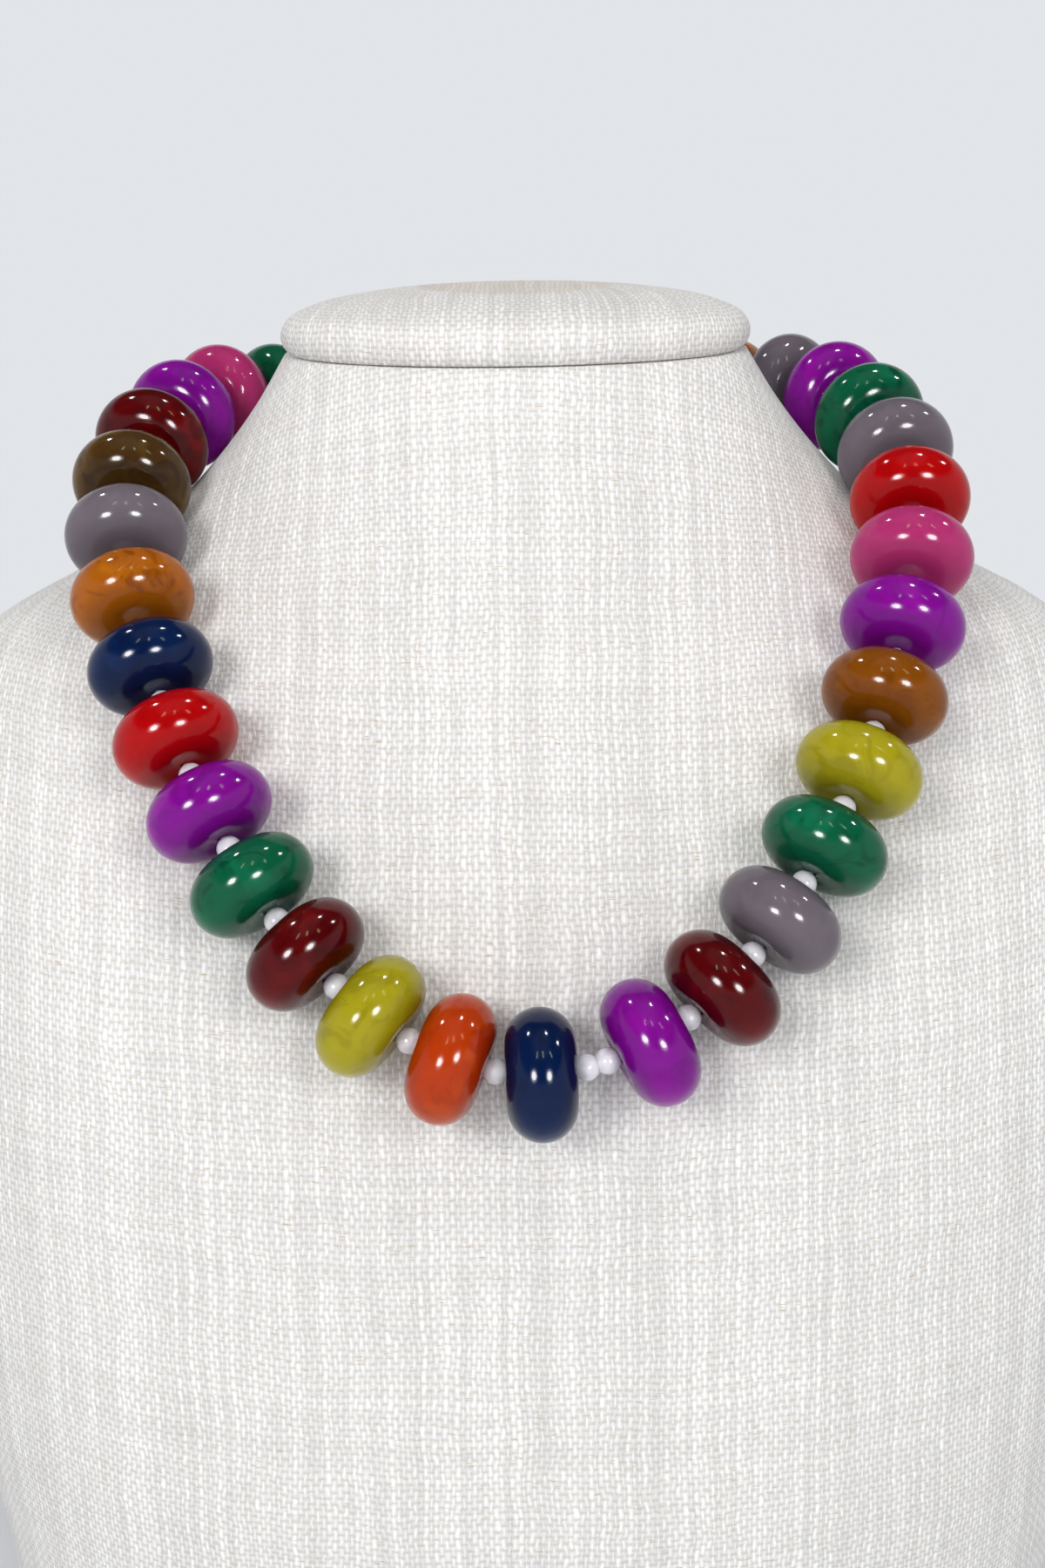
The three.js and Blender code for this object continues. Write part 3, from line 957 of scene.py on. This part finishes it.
class NECKLACE_OT_stage(bpy.types.Operator):
    """Set up the floor, the lights and the camera"""

    bl_idname = "necklace.stage"
    bl_label = "Stage"

    def execute(self, context):
        stage = context.scene.necklace_stage
        self.floor(stage)
        self.lights(stage)
        self.camera(context, stage)
        return {"FINISHED"}

    def floor(self, stage):
        """A wide round floor that fades into the surrounding light."""
        nodes = MaterialNodes("floor_paper")
        place = nodes.add("ShaderNodeTexCoord").outputs["Object"]
        far = nodes.add("ShaderNodeVectorMath", operation="LENGTH")
        nodes.feed(far.inputs[0], place)
        fade = nodes.ramp(far.outputs["Value"], *FLOOR_FADE, 1.0, 0.0)
        nodes.set(Base_Color=(*stage.floor_colour, 1), Roughness=0.9, Alpha=fade)
        sides = 96
        turns = np.linspace(0, 2 * math.pi, sides, endpoint=False)
        points = [(r * math.cos(t), r * math.sin(t), 0) for r in FLOOR_RINGS for t in turns]
        faces = ring_faces(len(FLOOR_RINGS), sides) + [tuple(range(sides))[::-1]]
        mesh = bpy.data.meshes.new("floor")
        mesh.from_pydata(points, [], faces)
        mesh.materials.append(nodes.material)
        floor = bpy.data.objects.new("floor", mesh)
        floor.location = (0, 0, -FLOOR_DROP)
        bpy.context.scene.collection.objects.link(floor)

    def lights(self, stage):
        """Pale light all round, and the lamps."""
        world = bpy.data.worlds.new("surround")
        world.use_nodes = True
        nodes = Nodes(world.node_tree)
        background = nodes.tree.nodes["Background"]
        background.inputs["Strength"].default_value = stage.sky
        place = nodes.add("ShaderNodeTexCoord").outputs["Generated"]
        parts = nodes.add("ShaderNodeSeparateXYZ", Vector=place)
        rise = nodes.math("MULTIPLY_ADD", parts.outputs["Y"], -FRONT_RISE, parts.outputs["Z"])
        aside = nodes.math("ABSOLUTE", parts.outputs["X"])
        rise = nodes.math("MULTIPLY_ADD", aside, SIDE_RISE, rise)
        tones = nodes.add("ShaderNodeValToRGB", Fac=rise)
        nodes.feed(background.inputs["Color"], tones.outputs["Color"])
        stops = tones.color_ramp.elements
        while len(stops) < len(SKY_TONES):
            stops.new(0.5)
        for stop, (position, tone) in zip(stops, SKY_TONES):
            stop.position = position
            stop.color = (*tone, 1)
        bpy.context.scene.world = world
        for name, kind, azimuth, elevation, distance, size, height, power, colour in LAMPS:
            place = direction(azimuth, elevation, distance)
            add_lamp(name, kind, place, size, height, power, colour)

    def camera(self, context, stage):
        """The camera in front of the bust, a little above it."""
        data = bpy.data.cameras.new("camera")
        data.sensor_fit = "AUTO"
        data.sensor_width = 36.0
        data.lens = stage.lens
        camera = bpy.data.objects.new("camera", data)
        camera.location = (0, -stage.camera_distance, stage.camera_height)
        tilt = Matrix.Rotation(math.pi / 2 - stage.camera_pitch, 3, "X")
        lean = Matrix.Rotation(-stage.camera_roll, 3, "Z")
        camera.rotation_euler = (tilt @ lean).to_euler()
        context.scene.collection.objects.link(camera)
        context.scene.camera = camera
        context.scene.view_settings.view_transform = "Standard"


class NECKLACE_PT_parts(bpy.types.Panel):
    """Buttons for every part, with its sizes and colours"""

    bl_label = "Beaded necklace"
    bl_idname = "NECKLACE_PT_parts"
    bl_space_type = "VIEW_3D"
    bl_region_type = "UI"
    bl_category = "Necklace"

    def draw(self, context):
        for title, group, operators in PANEL_ROWS:
            box = self.layout.box()
            box.label(text=title)
            settings = getattr(context.scene, group)
            for name in settings.__annotations__:
                box.prop(settings, name)
            for operator in operators:
                box.operator(operator)


PANEL_ROWS = (
    ("Linen bust", "necklace_linen", ("necklace.bust",)),
    ("Beads", "necklace_beads",
     ("necklace.rondelles", "necklace.strand", "necklace.clasp")),
    ("Stage", "necklace_stage", ("necklace.stage",)),
)
GROUPS = {
    "necklace_beads": BeadSettings,
    "necklace_linen": LinenSettings,
    "necklace_stage": StageSettings,
}
CLASSES = (
    BeadSettings, LinenSettings, StageSettings, NECKLACE_OT_bust, NECKLACE_OT_rondelles,
    NECKLACE_OT_strand, NECKLACE_OT_clasp, NECKLACE_OT_stage, NECKLACE_PT_parts)


def register():
    for each in CLASSES:
        bpy.utils.register_class(each)
    for name, group in GROUPS.items():
        setattr(bpy.types.Scene, name, bpy.props.PointerProperty(type=group))


def unregister():
    for name in GROUPS:
        delattr(bpy.types.Scene, name)
    for each in reversed(CLASSES):
        bpy.utils.unregister_class(each)


def main():
    register()
    bpy.ops.necklace.bust()
    bpy.ops.necklace.rondelles()
    bpy.ops.necklace.strand()
    bpy.ops.necklace.clasp()
    bpy.ops.necklace.stage()


if __name__ == "__main__":
    main()
